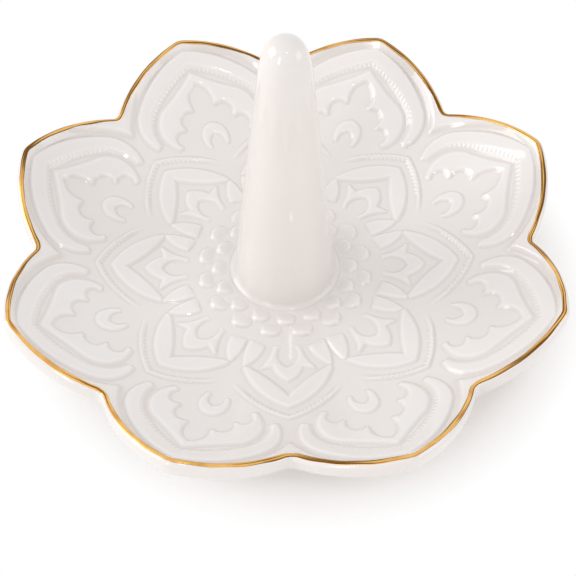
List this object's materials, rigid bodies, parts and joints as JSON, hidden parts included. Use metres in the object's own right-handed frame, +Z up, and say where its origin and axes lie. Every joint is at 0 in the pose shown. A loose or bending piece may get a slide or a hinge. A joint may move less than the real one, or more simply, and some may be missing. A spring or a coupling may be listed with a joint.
{
  "type": "ring dish",
  "caption": "Petal-rimmed porcelain ring dish with an embossed lotus mandala, a tapered ring cone standing in the middle, a foot ring and a gilded lip.",
  "frame": {"origin": "point on the table under the cone's axis, in the plane of the foot ring's resting face", "axes": "+Z up along the cone; -Y towards the viewer of the picture, where a notch between two petals faces; petal tips half a petal's angle from +X and +Y"},
  "size_m": [0.0944, 0.0944, 0.059],
  "materials": {
    "glazed_porcelain": "clear gloss glaze",
    "bare_porcelain": "unglazed, matt",
    "gilding": "bright gold lustre"
  },
  "bodies": {
    "root": {"dish_body": "glazed_porcelain", "ring_cone": "glazed_porcelain", "slip_joint": "glazed_porcelain", "foot_ring": "bare_porcelain", "gold_rim": "gilding"}
  },
  "joints": []
}
